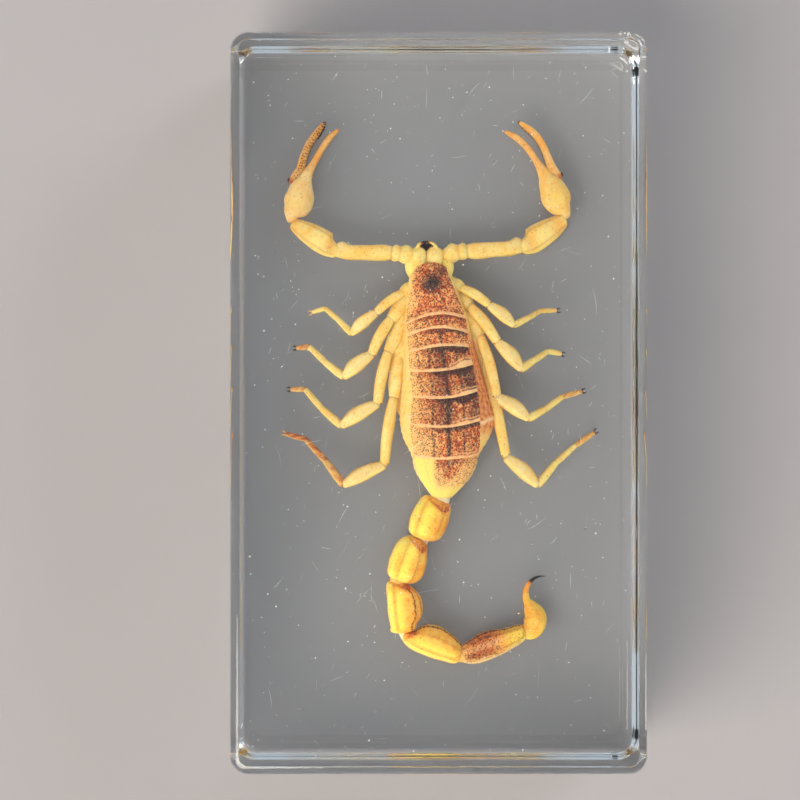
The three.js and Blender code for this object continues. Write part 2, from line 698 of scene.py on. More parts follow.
def resin_block():
    """The block, with a few tiny bubbles in it."""
    outlines = [rounded_outline(inset) for inset, _ in block_levels()]
    levels = [level for _, level in block_levels()]
    around = len(outlines[0])
    points = [(x, y, z) for outline, z in zip(outlines, levels) for x, y in outline]
    faces = [tuple(range(around))[::-1], tuple((len(levels) - 1) * around + i for i in range(around))]
    for ring in range(len(levels) - 1):
        for i in range(around):
            j = (i + 1) % around
            low = ring * around
            faces.append((low + i, low + j, low + around + j, low + around + i))
    block = Shape()
    block.points.append(np.array(points))
    block.faces = faces
    block.count = len(points)
    for centre, radius in BUBBLES:
        ball, ball_faces = egg(centre, radius, 12, 18)
        first = ball[list(ball_faces[0])[:3]] - np.array(centre)
        outward = np.dot(first[0], np.cross(first[1], first[2])) > 0
        # A bubble is a hollow, so its faces point to its middle.
        hollow = [face[::-1] if outward else face for face in ball_faces]
        block.faces += [tuple(i + block.count for i in face) for face in hollow]
        block.points.append(ball)
        block.count += len(ball)
    for name in MARKS:
        block.marks[name] = [np.zeros(block.count)]
    piece = block.make("resin_block_clear", resin_finish())
    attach(piece, "root")
    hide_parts("resin_block")


def dust_specks(material, number=620):
    """Tiny pale motes that were caught in the resin."""
    chance = np.random.default_rng(21)
    dust = Shape()
    middle = (BLOCK_HIGH + BLOCK_LOW) / 2
    span = (BLOCK_HIGH - BLOCK_LOW) / 2 - 1.6
    for _ in range(number):
        place = middle + chance.uniform(-1, 1, 3) * span
        place[2] = 8.5 + 12.8 * chance.uniform(0, 1) ** 0.6
        size = 0.025 + 0.05 * chance.uniform(0, 1) ** 3
        dust.add(*egg(place, size * chance.uniform(0.6, 1.5, 3), 3, 6))
    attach(dust.make("dust_specks", material), "root")


def fine_scratches(material, number=280):
    """Short hairline scratches at the top face."""
    chance = np.random.default_rng(33)
    shape = Shape()
    middle = (BLOCK_HIGH + BLOCK_LOW) / 2
    span = (BLOCK_HIGH - BLOCK_LOW) / 2 - 3.5
    level = BLOCK_HIGH[2] - 0.03
    for _ in range(number):
        start = middle[:2] + chance.uniform(-1, 1, 2) * span[:2]
        heading = chance.normal(1.2, 0.7)
        length = min(0.25 + chance.exponential(0.8), 2.9)
        way = np.array([math.cos(heading), math.sin(heading)])
        bend = np.array([-way[1], way[0]]) * chance.uniform(-0.06, 0.06) * length
        halfway = start + way * length / 2 + bend
        path = [(*start, level), (*halfway, level), (*(start + way * length), level)]
        half = 0.004 + 0.009 * chance.uniform(0, 1) ** 2
        shape.sweep(Tube(path, [(0, half * 0.3), (0.5, half), (1, half * 0.3)], rings=8, around=4))
    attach(shape.make("fine_scratches", material), "root")


# ---------------------------------------------------------------- trunk

# Edges of the trunk at places along it: (place, (left, right, half thickness)).
TRUNK = (
    (-9.75, (-0.45, 1.45, 1.15)),
    (-9.0, (-0.95, 2.15, 1.5)),
    (-7.9, (-1.7, 3.2, 1.9)),
    (-6.8, (-2.3, 3.85, 2.15)),
    (-5.4, (-2.6, 4.25, 2.4)),
    (-3.6, (-3.45, 5.3, 2.6)),
    (-2.0, (-3.8, 5.85, 2.7)),
    (0.6, (-3.7, 5.3, 2.7)),
    (3.3, (-3.5, 4.5, 2.6)),
    (5.7, (-3.45, 3.8, 2.5)),
    (9.0, (-3.3, 3.0, 2.35)),
    (11.0, (-3.1, 2.25, 2.2)),
    (13.0, (-2.8, 1.4, 1.9)),
    (14.4, (-2.3, 0.85, 1.4)),
)
TRUNK_LEVEL = 4.7
TRUNK_BOXY = 2.35

# Left and right edges of the brown plates.
PLATES = (
    (-9.65, (-0.45, 1.45)),
    (-8.8, (-1.0, 2.35)),
    (-7.9, (-1.6, 3.05)),
    (-6.4, (-2.2, 3.85)),
    (-4.8, (-2.45, 4.25)),
    (-2.3, (-2.75, 4.35)),
    (0.6, (-2.55, 4.2)),
    (3.3, (-2.8, 3.75)),
    (5.7, (-2.95, 3.25)),
    (9.0, (-3.1, 2.8)),
    (11.0, (-2.8, 2.0)),
    (12.4, (-2.55, 1.45)),
    (13.4, (-2.35, 1.05)),
    (14.3, (-1.95, 0.85)),
)

# Front border of the head shield, and rear borders of it and of each back plate: left, middle, right.
HEAD_FRONT = (13.75, 14.35, 13.85)
BORDERS = (
    (8.0, 9.0, 8.6),
    (6.8, 7.6, 7.15),
    (5.1, 5.75, 5.7),
    (3.25, 3.25, 3.9),
    (0.65, 0.45, 1.2),
    (-2.2, -2.5, -1.8),
    (-5.5, -5.75, -5.35),
    (-9.5, -9.62, -9.5),
)


def trunk_height(x, y, lift=0.0):
    """Height of the trunk's upper surface over its middle level, at a place in the plan."""
    edges = smooth(TRUNK, y)
    middle = (edges[..., 0] + edges[..., 1]) / 2
    half = (edges[..., 1] - edges[..., 0]) / 2 + lift
    off = np.clip(np.abs((x - middle) / half), 0, 0.995)
    return (edges[..., 2] + lift) * (1 - off**TRUNK_BOXY) ** (1 / TRUNK_BOXY)


def border(places, u):
    """A border through its left, middle and right places, for u from -1 to 1."""
    left, middle, right = places
    return middle + (right - left) / 2 * u + ((left + right) / 2 - middle) * u * u


PLATE_OVERLAP = 0.22
PLATE_THICKNESS = 0.14
# How dark the front band of each of the first six back plates is, its own dark band together with painted
# shadow from the plate before it, and how much wider its pale margin grows to the right, in millimetres.
BAND_AND_SHADOW_DARKNESS = (0.4, 0.75, 0.85, 1.0, 0.95, 0.85)
MARGIN_SPREAD = (0.0, 0.0, 0.32, 0.12, 0.1, 0.0)


def plate_steps(columns, rows):
    """Steps across a plate, from -1 at its left edge to 1, and along it, from 0 at its front to 1."""
    return np.linspace(-1, 1, columns)[None, :], np.linspace(0, 1, rows)[:, None]


def plate_rows(front, back, u, v):
    """Where along the trunk the points of a plate lie, its front tucked under the plate before it."""
    return border(front, u) * (1 - v) + border(back, u) * v + PLATE_OVERLAP * (1 - v)


def plate_columns(y, u):
    """Where across the trunk the points of a plate lie."""
    edges = smooth(PLATES, y)
    return (edges[..., 0] * (1 - u) + edges[..., 1] * (1 + u)) / 2


def over_grid(marks, x, others):
    """Marks for a grid of points, blank on the other points that come after it."""
    blank = np.zeros(others)
    return {name: np.concatenate([(mark * np.ones_like(x)).ravel(), blank]) for name, mark in marks.items()}


def plate_shell(x, y, z, thickness, **marks):
    """A plate from its outer surface, whose marks are painted on that side only."""
    points, faces = sheet_shell(np.stack([x, y, z], -1), thickness)
    return Shape().add(points, faces, **over_grid(marks, x, x.size))


def back_plate(number, material):
    """One of the first six plates of the back, from its front border to its rear one."""
    front, back = BORDERS[number - 1], BORDERS[number]
    u, v = plate_steps(111, 41)
    y = plate_rows(front, back, u, v)
    x = plate_columns(y, u)
    ragged = 0.05 * np.sin(11 * u + number) + 0.04 * np.sin(29 * u + 2.3 * number)
    behind = y - border(back, u) + ragged * 0.5
    ahead = border(front, u) - y + ragged
    width = 0.22 + MARGIN_SPREAD[number - 1] * rise(u, 0.1, 0.8) + 0.05 * np.sin(7 * u + number)
    margin = 1 - rise(behind, width, width + 0.1)
    fold = bell(behind - width - 0.27, 0.07) * rise(u, 0.05, 0.4) * (number > 2)
    margin = np.maximum(margin, 0.75 * fold)
    keel = bell(u - 0.08, 0.035) * rise(ahead, 0.2, 0.4) * (1 - margin)
    sides = bell(np.abs(u - 0.08) - 0.46, 0.03) * rise(ahead, 0.4, 0.8) * (1 - margin) * (number > 2)
    z = TRUNK_LEVEL + trunk_height(x, y, 0.06) + 0.02 + 0.13 * v**1.5
    z = z + 0.08 * keel + 0.07 * sides - 0.07 * bell(ahead - 0.1, 0.1) + 0.05 * margin
    z = z + 0.02 * np.sin(13 * u + 4 * v + number) * np.sin(9 * v + 3 * u)

    # Front band: a dark band of its own and painted shadow where it tucks under the plate before it.
    depth = 0.24 + 0.34 * bell(u - 0.62, 0.26) * (number in (3, 4, 5)) + 0.1 * bell(u, 0.3)
    front_band_and_shadow = (1 - rise(ahead, depth, depth + 0.3)) * (1 - rise(u, 0.95, 1.0))
    band = front_band_and_shadow * (0.85 * rise(u, 0.1, 0.4) + 0.6 * bell(u + 0.1, 0.34)) * BAND_AND_SHADOW_DARKNESS[number - 1]
    column = (0.1 + 0.05 * number) * bell(u - 0.1, 0.1) + 0.34 * bell(u + 0.04, 0.32) * (number in (3, 4, 5))
    corner = 0.5 * bell(u - 0.82, 0.22) * (number == 4) + 0.34 * bell(u - 0.86, 0.16) * (number == 5)
    right = 0.12 * rise(u, 0.0, 0.7) * (number > 2)
    dark = np.clip(band + column + corner + right + 0.35 * keel + 0.42 * sides, 0, 1) * (1 - margin)
    warm = 0.95 * rise(-u, 0.5, 1.0) + 0.5 * bell(np.hypot(u - 0.62, (v - 0.7) * 1.3), 0.2)
    warm = warm + 0.5 * bell(np.hypot(u + 0.52, (v - 0.55) * 0.8), 0.26)
    warm = warm + 0.4 * (number == 6) * rise(-u, 0, 0.3)
    grain = (0.9 + 0.4 * keel + 0.4 * sides) * (1 - margin) * rise(ahead, 0.0, 0.15)
    grain = grain * (1 - 0.6 * rise(-u, 0.8, 1.0))
    plate = plate_shell(x, y, z, PLATE_THICKNESS, dark=dark, pale=margin, warm=warm, grain=grain)
    return plate.make(f"back_plate_{number}", material)


def last_back_plate(material):
    """The seventh plate, yellow and keeled, which narrows to the tail."""
    u, v = plate_steps(93, 63)
    y = plate_rows(*BORDERS[6:], u, v)
    x = plate_columns(y, u)
    inner = bell(np.abs(u - 0.06) - (0.34 - 0.08 * v), 0.03) * rise(v, 0.12, 0.3) * (1 - rise(v, 0.62, 0.8))
    outer = bell(np.abs(u - 0.03) - (0.72 - 0.04 * v), 0.03) * rise(v, 0.12, 0.3) * (1 - rise(v, 0.8, 0.95))
    z = TRUNK_LEVEL + trunk_height(x, y, 0.06) + 0.03 + 0.08 * inner + 0.08 * outer
    z = z - 0.06 * bell(v - 0.03, 0.03) + 0.03 * np.sin(9 * u + 5 * v)
    wedge = bell((u - 0.14) / np.maximum(0.5 - 0.66 * v, 0.05), 1.0) * (1 - rise(v, 0.45, 0.7))
    core = bell((u - 0.1) / 0.16, 1.0) * bell(v - 0.22, 0.22)
    front = bell(v - 0.14, 0.045) * bell(u - 0.25, 0.5)
    yellow = np.maximum(1 - rise(u + 0.12 * v, -0.5, -0.22), rise(v, 0.62, 0.9))
    dark = np.clip(0.1 * wedge + 0.18 * core + 0.3 * front + 0.08 * inner, 0, 0.36) * (1 - yellow)
    pale = 0.8 * bell(v - 0.03, 0.03) * rise(-u, 0.0, 0.5)
    warm = 0.88 + 0.12 * rise(v, 0.3, 0.7) - 1.2 * wedge - 0.3 * front
    grain = 0.2 + 0.8 * (1 - yellow)
    plate = plate_shell(x, y, z, PLATE_THICKNESS, dark=dark, warm=warm, grain=grain, ridge=yellow, pale=pale)
    return plate.make("back_plate_7", material)


def head_shield(material):
    """The head shield, with its furrows, keels and the raised seat of the middle eyes."""
    u, v = plate_steps(117, 97)
    front = border(HEAD_FRONT, u) - 0.06 * bell(u + 0.02, 0.16)
    y = front * (1 - v) + border(BORDERS[0], u) * v
    x = plate_columns(y, u)
    z = TRUNK_LEVEL + trunk_height(x, y, 0.12) + 0.1 - 0.3 * (1 - v) ** 3
    seat = bell(np.hypot(x + 0.48, (y - 12.3) / 1.2), 0.78)
    groove = bell(x + 0.4 - 0.6 * (v - 0.5), 0.1) * (rise(v, 0.42, 0.55) - rise(v, 0.9, 0.97))
    arms = bell(np.abs(u) - (0.22 + 0.75 * np.abs(v - 0.62)), 0.05)
    arms = arms * (rise(v, 0.05, 0.2) - rise(v, 0.85, 0.95))
    folds = 0.03 * np.sin(7 * x + 5 * y) * np.sin(6 * y - 3 * x)
    z = z + 0.3 * seat - 0.14 * groove - 0.09 * bell(v - 0.93, 0.03) + 0.09 * arms + folds
    behind = y - border(BORDERS[0], u)
    pale = 1 - rise(behind, 0.24, 0.34)
    z = z + 0.05 * pale
    blush = bell(np.hypot((x - 0.55) / 1.2, y - 13.6), 0.6)
    blush = blush + 0.7 * bell(np.hypot(x - 1.2, (y - 12.2) * 0.7), 0.35)
    stain = bell(np.hypot(x + 0.66, (y - 12.05) * 1.3), 0.9)
    dark = 0.5 * seat + 0.8 * stain + 0.1 * arms + 0.16 * groove + 0.4 * blush + 0.2 * bell(v - 0.9, 0.04)
    dark = dark + 0.04 * rise(0.5 - v, 0.0, 0.4)
    spots = bell(np.hypot(x + 2.35, (y - 10.2) * 0.6), 0.42)
    spots = spots + 0.6 * bell(np.hypot(x - 1.7, (y - 9.9) * 0.7), 0.4)
    warm = 0.9 * spots + 0.8 * rise(-u, 0.7, 1.0) + 0.4 * rise(u, 0.85, 1.0)
    grain = (0.5 + 0.5 * arms + 0.4 * seat) * (1 - pale)
    shield = plate_shell(x, y, z, 0.16, dark=dark * (1 - pale), pale=pale, warm=warm, grain=grain)
    return shield.make("head_shield", material)


def eyes(material):
    """Two eyes on the middle seat, and three small ones at each front corner."""
    shape = Shape()
    for x in (-0.76, -0.2):
        shape.add(*egg((x, 12.3, TRUNK_LEVEL + 2.42), (0.18, 0.21, 0.17), 12, 18))
    for x, way in ((-2.02, -1), (0.75, 1)):
        for step in range(3):
            place = (x + way * 0.1 * step, 13.62 - 0.3 * step, TRUNK_LEVEL + 0.98 + 0.06 * step)
            shape.add(*egg(place, 0.09, 8, 12))
    return shape.make("eyes", material)


# Soft skin at the leg roots, on the left and on the right.
SIDE_SKIN = (
    ((-2.5, 12.2, 3.9), (-3.2, 9.0, 3.8), (-3.85, 5.0, 3.8), (-3.7, -1.3, 3.9)),
    ((1.5, 12.3, 3.9), (2.9, 9.0, 3.8), (4.4, 5.0, 3.8), (5.3, 1.0, 3.9)),
)


def trunk_membrane(material):
    """The soft folded skin of the trunk, which shows between the plates and along the sides."""
    y = np.linspace(13.7, -9.7, 200)
    edges = smooth(TRUNK, y)
    around = 144
    angle = np.arange(around) / around * 2 * np.pi
    middle = (edges[:, 0] + edges[:, 1]) / 2
    half = (edges[:, 1] - edges[:, 0]) / 2
    cos, sin = np.cos(angle), np.sin(angle)
    flank = bell(sin, 0.6)
    row = y[:, None]
    right = rise(cos, 0.1, 0.5) * rise(row, -4.0, -2.0) * (1 - rise(row, 5.5, 8.0))
    pleats = np.sin(31 * angle + 1.6 * np.sin(row * 2.3) + 1.1 * np.sin(row * 5.1 + 6 * angle))
    pleats = pleats * (0.55 + 0.45 * np.sin(row * 7.3 + 17 * angle))
    steps = np.sin(2 * np.pi * row / 0.62 + 1.4 * np.sin(4 * angle))
    folds = (0.025 * steps + 0.03 * pleats * (1 + 2.0 * right)) * flank * rise(9.5 - row, 0.0, 2.0)
    sunk = 0.05 + 0.3 * rise(row, 12.6, 13.7)
    x = middle[:, None] + (half[:, None] + folds) * squared(cos, TRUNK_BOXY)
    z = TRUNK_LEVEL + (edges[:, 2:] - sunk + folds) * squared(sin, TRUNK_BOXY)
    grid = np.stack([x, np.broadcast_to(row, x.shape), z], -1).reshape(-1, 3)
    poles = [[middle[0], y[0] + 0.15, TRUNK_LEVEL], [middle[-1], y[-1] - 0.1, TRUNK_LEVEL]]
    points = np.concatenate([grid, poles])
    crease = 0.8 * bell(row + 1.85 - 0.4 * (x - 5.0), 0.26) * rise(cos, 0.1, 0.5)
    red = right * (1 - crease)
    marks = {
        "dark": red * (0.26 + 0.34 * pleats + 0.08 * steps),
        # Painted shade: the keel colour also darkens the troughs of the pleats on the sides.
        "ridge": red * 0.95 + 0.25 * np.clip(-pleats, 0, 1) * flank,
        "pale": crease + (1 - right) * (0.06 + 0.22 * pleats * steps),
        "warm": (1 - right) * (0.7 + 0.2 * steps),
    }
    shape = Shape().add(points, ring_faces(len(y), around), **over_grid(marks, x, len(poles)))
    for path in SIDE_SKIN:
        fold = Tube(path, [(0, 0.45), (0.25, 0.85), (0.7, 0.9), (1, 0.35)], rings=60, around=40, wobble=0.05)
        ripple = 0.5 + 0.5 * np.sin(34 * fold.far + 3 * np.sin(np.radians(fold.about) * 2))
        shape.sweep(fold, warm=0.6, ridge=0.3 * ripple)
    return shape.make("trunk_membrane", material)


BELLY_BORDERS = (8.2, 5.2, 2.2, -0.9, -4.2, -9.2)


def belly_plate(name, front, back, material, breathing):
    """One plate of the underside, with a breathing slit on each side where it is breathing."""
    u, v = plate_steps(49, 17)
    y = (front + 0.2) * (1 - v) + back * v + 0.15 * u * u
    x = plate_columns(y, u) * 0.96
    slit = bell(np.abs(u) - 0.62, 0.09) * bell(v - 0.5 - 0.1 * np.abs(u), 0.06) * breathing
    z = TRUNK_LEVEL - trunk_height(x, y, 0.05) - 0.03 - 0.08 * v + 0.09 * slit
    plate = plate_shell(x, y, z, -0.1, pale=0.8 * rise(v, 0.86, 0.95), dark=0.8 * slit + 0.12 * bell(u, 0.5))
    return plate.make(name, material)


def chest_plates(material):
    """The small chest plate between the leg bases and the lid behind it."""
    shape = Shape()
    low = TRUNK_LEVEL - 2.45
    chest = Tube(
        [(-0.45, 11.2, low), (-0.3, 9.6, low)], [(0, 0.2), (0.5, 0.5), (1, 0.75)], [(0, 0.2), (1, 0.3)],
    )
    shape.sweep(chest, pale=0.3 * chest.far)
    for x in (-0.75, 0.25):
        lid = Tube(
            [(x, 9.5, low + 0.02), (x + 0.05, 8.4, low + 0.02)], [(0, 0.42), (1, 0.5)], [(0, 0.18), (1, 0.2)],
            ends=(0.3, 0.3), rings=16, around=24,
        )
        shape.sweep(lid, dark=0.15 * lid.far)
    return shape.make("chest_plates", material)


def comb(name, way, material, teeth=24):
    """One of the two combs on the underside: a jointed spine with a row of teeth."""
    shape = Shape()
    start = np.array([-0.25 + 0.45 * way, 8.5, TRUNK_LEVEL - 2.6])
    end = np.array([-0.25 + 3.1 * way, 5.3, TRUNK_LEVEL - 2.45])
    middle = (start + end) / 2 + np.array([0.35 * way, 0.35, 0.0])
    spine = Tube(
        [start, middle, end], [(0, 0.34), (0.5, 0.3), (1, 0.14)], [(0, 0.16), (1, 0.1)],
        rings=40, around=20,
    )
    shape.sweep(spine, pale=0.3 + 0.3 * np.sin(spine.far * 40))
    for tooth in range(teeth):
        share = (tooth + 0.7) / teeth
        root = smooth([(0, start), (0.5, middle), (1, end)], share)
        reach = 1.0 - 0.35 * share
        tip = root + np.array([-0.45 * way * reach, -1.0 * reach, 0.02])
        prong = Tube([root, tip], [(0, 0.045), (0.7, 0.07), (1, 0.055)], rings=8, around=8, ends=(0.1, 0.25))
        shape.sweep(prong, pale=0.6)
    return shape.make(name, material)


# ---------------------------------------------------------------- mouthparts

MOUTH_MIDDLE = -1.08


def chelicera(name, way, material):
    """One of the two short pincers in front of the head: a swollen hand and two dark fingers."""
    shape = Shape()
    palm = Tube(
        [(MOUTH_MIDDLE + 0.66 * way, 13.4, 4.75), (MOUTH_MIDDLE + 0.84 * way, 14.8, 5.2),
         (MOUTH_MIDDLE + 0.84 * way, 16.05, 5.15)],
        [(0, 0.62), (0.35, 0.8), (0.65, 0.88), (0.88, 0.76), (1, 0.45)],
        [(0, 0.5), (0.5, 0.85), (1, 0.5)],
        ends=(0.1, 0.25), wobble=0.03,
    )
    inner = inner_side(way)
    seam = palm.toward(inner, 26)
    dark = 0.3 * palm.beyond(0.93, 1.0) + 0.44 * seam * palm.beyond(0.3, 0.9)
    shape.sweep(palm, dark=dark, grain=0.6 * palm.beyond(0.3, 0.6), warm=0.3)
    upper, lower = (0.42, 0.1) if way < 0 else (0.6, 0.2)
    fingers = (
        ((1.12, 15.6, 5.5), (0.76, 16.2, 5.5), (-0.02, 16.52, 5.35), 0.17, upper),
        ((0.6, 15.6, 5.25), (0.42, 16.0, 5.25), (0.04, 16.2, 5.1), 0.26, lower),
    )
    for base, knee, tip, thick, turns_dark in fingers:
        path = [(MOUTH_MIDDLE + x * way, y, z) for x, y, z in (base, knee, tip)]
        finger = Tube(path, [(0, thick), (0.5, thick * 0.9), (1, 0.09)], rings=24, around=16)
        shape.sweep(finger, dark=finger.beyond(turns_dark, turns_dark + 0.35), warm=0.5)
        for place in (0.45, 0.62, 0.8):
            shape.add(*egg(finger.at(place, inner), (0.1, 0.08, 0.07), 6, 8), dark=0.95)
    shape.add(*egg((MOUTH_MIDDLE + 0.16 * way, 15.95, 4.95), (0.24, 0.46, 0.2)), dark=0.95)
    return shape.make(name, material)


# ---------------------------------------------------------------- pedipalps

SIDES = (("left", -1), ("right", 1))

# Hip, neck, shoulder, elbow and wrist of each pedipalp.
ARMS = {
    "left": ((-1.9, 12.9, 4.3), (-2.45, 14.8, 4.8), (-4.6, 15.35, 5.0), (-10.2, 15.6, 4.6),
             (-14.8, 18.5, 4.3)),
    "right": ((0.5, 12.9, 4.3), (0.75, 14.9, 4.8), (3.0, 15.5, 5.0), (8.6, 16.05, 4.6),
              (13.05, 18.9, 4.3)),
}
STOUTNESS = {"left": 1.0, "right": 1.16}
# Half widths of the left forearm, on its outer and its inner side.
FOREARM_WIDTHS = (
    (0, (0.5, 0.36)), (0.05, (0.77, 0.44)), (0.13, (0.98, 0.52)), (0.21, (1.14, 0.66)),
    (0.25, (1.18, 0.86)), (0.28, (1.2, 1.16)), (0.33, (1.22, 1.2)), (0.56, (1.16, 1.12)),
    (0.76, (0.98, 0.88)), (0.9, (0.74, 0.64)), (0.97, (0.55, 0.48)), (1, (0.35, 0.34)),
)
# The way along each hand, from the wrist to the tip of its fixed finger, and along the other finger.
HANDS = {
    "left": ((-14.98, 18.4, 4.3), (-14.84, 19.3, 4.3), (-14.42, 20.1, 4.25), (-14.08, 21.1, 4.2),
             (-13.9, 22.1, 4.15), (-13.45, 23.2, 4.1), (-12.72, 24.45, 4.0), (-11.85, 26.0, 3.95),
             (-11.0, 27.2, 3.9), (-10.05, 28.1, 3.8)),
    "right": ((13.3, 18.85, 4.3), (13.08, 19.45, 4.3), (12.64, 20.1, 4.25), (12.18, 21.0, 4.2),
              (11.8, 22.0, 4.15), (11.25, 23.05, 4.1), (10.3, 24.6, 4.0), (9.45, 25.9, 3.95),
              (8.35, 27.05, 3.9), (6.9, 27.9, 3.8)),
}
FINGERS = {
    "left": ((-14.9, 22.3, 4.15), (-14.5, 23.1, 4.1), (-14.08, 23.8, 4.05), (-13.65, 25.25, 4.0),
             (-13.15, 26.45, 3.95), (-12.35, 27.6, 3.85), (-11.45, 28.85, 3.75)),
    "right": ((12.6, 22.8, 4.15), (12.15, 23.4, 4.1), (11.8, 23.95, 4.05), (11.35, 25.1, 4.0),
              (10.85, 26.3, 3.95), (10.05, 27.5, 3.85), (8.3, 28.9, 3.75)),
}


def mirrored(widths, way):
    """Widths of a part on the left, turned over for the same part on the right."""
    return [(place, pair if way < 0 else pair[::-1]) for place, pair in widths]


def arm(name, way, places, stoutness, material):
    """Hip, ring, thigh and forearm of a pedipalp, from the head to the wrist. way is -1 on the left."""
    hip, neck, shoulder, elbow, wrist = np.array(places)
    chance = np.random.default_rng(40 + way)
    shape = Shape()
    out = np.array([way, 0.0, 0.0])
    inner = inner_side(way)
    base = Tube(
        [hip, (hip + neck) / 2 + 0.25 * out, neck + 0.1 * out],
        [(0, 0.85), (0.5, 0.85), (1, 0.7)], [(0, 1.0), (1, 0.8)], ends=(0.12, 0.12),
    )
    shape.sweep(base, grain=0.5, warm=0.7)
    ring = Tube(
        [neck - 0.2 * out, (neck + shoulder) / 2 + np.array([0.0, 0.12, 0.05]), shoulder + 0.25 * out],
        mirrored([(0, (0.6, 0.6)), (0.2, (0.85, 0.85)), (0.45, (0.85, 1.05)), (0.62, (0.75, 0.8)),
                  (0.8, (0.8, 0.92)), (1, (0.6, 0.6))], way),
        ends=(0.12, 0.12), rings=36, wobble=0.05,
    )
    shape.sweep(ring, grain=0.7, dark=0.16 * ring.band(0.62, 0.04), warm=0.3)

    thigh = Tube(
        [shoulder - 0.2 * out, (shoulder + elbow) / 2 + np.array([0, -0.1, 0.05]), elbow + 0.3 * out],
        mirrored([(0, (0.6, 0.6)), (0.08, (0.74, 0.74)), (0.5, (0.77, 0.79)), (0.8, (0.8, 0.82)),
                  (0.87, (0.74, 1.02)), (0.94, (0.66, 0.86)), (1, (0.5, 0.5))], way),
        [(0, 0.6), (0.3, 0.8), (0.8, 0.85), (1, 0.5)],
        keels=((38, 0.08), (142, 0.08), (-38, 0.07), (-142, 0.07)),
        boxy=2.6, ends=(0.035, 0.035), rings=70, around=56, wobble=0.02,
    )
    knob = thigh.band(0.88, 0.045) * thigh.toward(inner, 60)
    dark = 0.24 * thigh.band(0.03, 0.025) + 0.16 * thigh.ridge + 0.1 * thigh.band(0.97, 0.02)
    under = thigh.toward(180 - inner, 60)
    shape.sweep(thigh, grain=0.5, dark=dark, pale=knob, warm=0.3 + 0.6 * under, ridge=0.2)

    along = unit(wrist - elbow)
    profile = [(place, (half[0] * stoutness, half[1])) for place, half in FOREARM_WIDTHS]
    forearm = Tube(
        [elbow - along * 0.35, (elbow + wrist) / 2 + np.array([0, -0.03, 0.12]), wrist + along * 0.1],
        mirrored(profile, way), [(0, 0.5), (0.3, 1.0), (0.7, 0.9), (1, 0.4)],
        keels=((52, 0.06), (128, 0.06), (0, 0.04), (180, 0.04)),
        boxy=2.3, ends=(0.03, 0.035), rings=80, around=56,
    )
    blush = forearm.band(0.2, 0.1) * forearm.toward(90, 45)
    dark = 0.2 * blush + 0.12 * forearm.band(0.03, 0.03) + 0.14 * forearm.ridge
    dark = dark + 0.2 * forearm.beyond(0.96, 1.0)
    # Painted glow: the forearm's outer side, near the elbow, is painted a brighter yellow, as if lit through.
    painted_glow = forearm.toward(180 - inner, 70) * (1 - forearm.beyond(0.45, 0.8))
    ridge = 0.25 * forearm.beyond(0.4, 0.8)
    shape.sweep(forearm, grain=0.6, dark=dark, warm=0.2 + 0.7 * painted_glow, ridge=ridge)
    for tube, angles in ((thigh, (38, 142)), (forearm, (52, 128))):
        grains(shape, tube, angles, 0.08, 0.92, 36, 0.038, 0.34, chance)
    for side in (0, 180):
        shape.add(*egg(forearm.at(0.955, side), 0.1, 6, 8), dark=0.7)
        shape.add(*egg(thigh.at(0.02, side), 0.09, 6, 8), dark=0.65)
    return shape.make(name, material)


def hand(name, way, path, material):
    """The swollen hand of a pedipalp, which runs out into its fixed finger."""
    shape = Shape()
    chance = np.random.default_rng(50 + way)
    palm = Tube(
        path,
        [(0, 0.34), (0.05, 0.6), (0.1, 1.0), (0.15, 1.34), (0.215, 1.52), (0.27, 1.45), (0.34, 1.24),
         (0.39, 1.06), (0.44, 0.76), (0.53, 0.46), (0.74, 0.34), (0.9, 0.31), (1, 0.14)],
        [(0, 0.35), (0.1, 1.0), (0.22, 1.3), (0.36, 1.05), (0.5, 0.6), (0.6, 0.42), (0.9, 0.3), (1, 0.15)],
        keels=((62, 0.03), (118, 0.03)), ends=(0.02, 0.02), rings=140, around=60, wobble=0.02,
    )
    finger = palm.beyond(0.46, 0.58)
    inner = inner_side(way)
    dark = 0.25 * palm.band(0, 0.02) + 0.4 * palm.beyond(0.97, 1.0) + 0.08 * finger
    dark = dark + 0.4 * palm.band(0.41, 0.025) * palm.toward(180 - inner, 55)
    warm = 0.85 * palm.band(0.2, 0.12) * palm.toward(90, 60)
    # Painted shade: the left palm is tinted towards pale peach, the look it has in shade.
    pale = 0.3 * (1 - finger) * (way < 0)
    shape.sweep(palm, ridge=0.3 + 0.4 * finger, grain=0.5, dark=dark, warm=warm, pale=pale)
    grains(shape, palm, (180 - inner,), 0.52, 0.97, 34, 0.05, 0.8, chance)
    grains(shape, palm, (50, 90, 130), 0.5, 0.96, 26, 0.035, 0.4, chance)
    return shape.make(name, material)


def moving_finger(name, way, path, material):
    """The finger that closes on the hand's fixed one, with its row of small dark teeth."""
    shape = Shape()
    chance = np.random.default_rng(60 + way)
    finger = Tube(
        path, [(0, 0.4), (0.07, 0.52), (0.16, 0.53), (0.3, 0.45), (0.5, 0.4), (0.85, 0.35), (1, 0.17)],
        ends=(0.03, 0.05), rings=100, around=32, wobble=0.03,
    )
    inner = inner_side(way)
    dark = 0.5 * finger.band(0.03, 0.05) + 0.9 * finger.beyond(0.95, 1.0)
    dark = dark + (0.2 if way < 0 else 0.08) + 0.16 * finger.toward(inner, 50)
    shape.sweep(finger, dark=dark, grain=0.5, ridge=0.5)
    for step in (0, 16, 34):
        grains(shape, finger, (inner - way * step,), 0.1, 0.97, 40, 0.06 - 0.0005 * step, 0.95, chance)
    if way < 0:
        grains(shape, finger, (60, 85, 110), 0.12, 0.96, 20, 0.07, 0.85, chance)
        grains(shape, finger, (inner + 14,), 0.76, 0.93, 7, 0.13, 1.0, chance)
    condyle = finger.at(0.05, 180 - inner)
    shape.add(*egg(condyle, (0.16, 0.22, 0.18), 8, 10), dark=0.95)
    return shape.make(name, material)


# ---------------------------------------------------------------- legs

